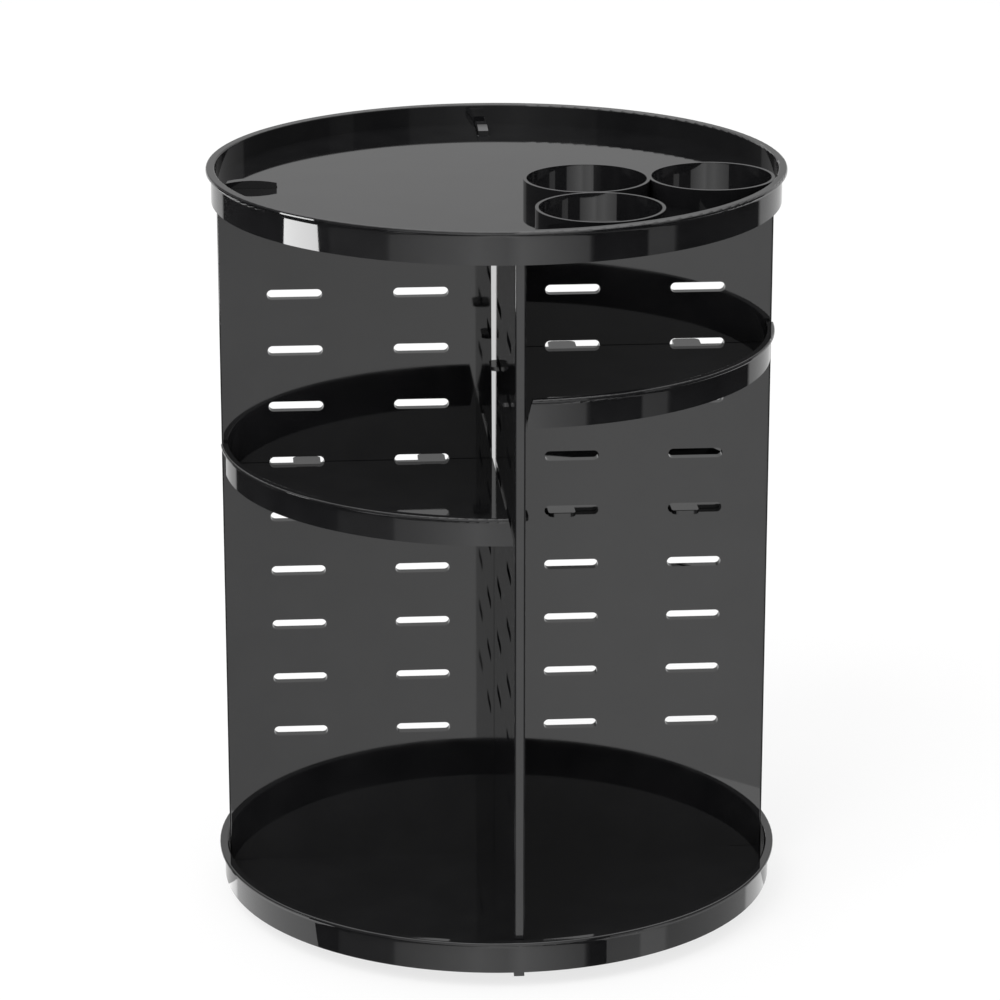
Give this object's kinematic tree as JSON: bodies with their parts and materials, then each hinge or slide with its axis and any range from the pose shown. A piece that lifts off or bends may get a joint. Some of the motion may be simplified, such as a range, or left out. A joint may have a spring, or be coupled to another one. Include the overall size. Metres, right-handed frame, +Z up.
{
  "type": "rotating countertop organizer",
  "caption": "Round countertop organizer that turns on a low ball-bearing base, with slotted upright panels, lift-out quarter-round shelves and a top tray with open holder rings.",
  "frame": {"origin": "on the counter, under the middle of the turning axis", "axes": "+Z up along the turning axis; -Y towards the front end of the divider; +X towards the right end of the side panel"},
  "size_m": [0.23, 0.23, 0.3054],
  "materials": {
    "gloss_black": "high gloss moulded",
    "black_plastic_dull": "fine moulded grain",
    "rubber": "matt",
    "pale_plastic": "satin",
    "steel": "bright"
  },
  "bodies": {
    "base": {"base_plate": "black_plastic_dull", "rubber_feet": "rubber", "pivot_bush": "pale_plastic"},
    "ball_ring": {"ball_cage": "pale_plastic", "race_balls": "steel"},
    "carousel": {"bottom_tray": "gloss_black", "pivot_washer": "steel", "pivot_screw": "steel", "side_panel": "gloss_black", "divider": "gloss_black"},
    "top_tray": {"top_tray": "gloss_black"},
    "right_shelf": {"right_shelf": "gloss_black"},
    "left_shelf": {"left_shelf": "gloss_black"},
    "rear_shelf": {"rear_shelf": "gloss_black"}
  },
  "joints": [
    {"name": "carousel_spin", "type": "hinge", "parent": "base", "child": "carousel", "pos_m": [0, 0, 0.0066], "axis": [0, 0, 1], "continuous": true},
    {"name": "ball_ring_spin", "type": "hinge", "parent": "base", "child": "ball_ring", "pos_m": [0, 0, 0.0066], "axis": [0, 0, 1], "continuous": true},
    {"name": "top_tray_lift", "type": "slide", "parent": "carousel", "child": "top_tray", "axis": [0, 0, 1], "range_m": [0, 0.06]},
    {"name": "right_shelf_slide", "type": "slide", "parent": "carousel", "child": "right_shelf", "axis": [0.7071, -0.7071, 0], "range_m": [0, 0.13]},
    {"name": "left_shelf_slide", "type": "slide", "parent": "carousel", "child": "left_shelf", "axis": [-0.7071, -0.7071, 0], "range_m": [0, 0.13]},
    {"name": "rear_shelf_slide", "type": "slide", "parent": "carousel", "child": "rear_shelf", "axis": [0.7071, 0.7071, 0], "range_m": [0, 0.13]}
  ],
  "couplings": [
    {"joint": "ball_ring_spin", "follows": "carousel_spin", "ratio": 0.5}
  ]
}
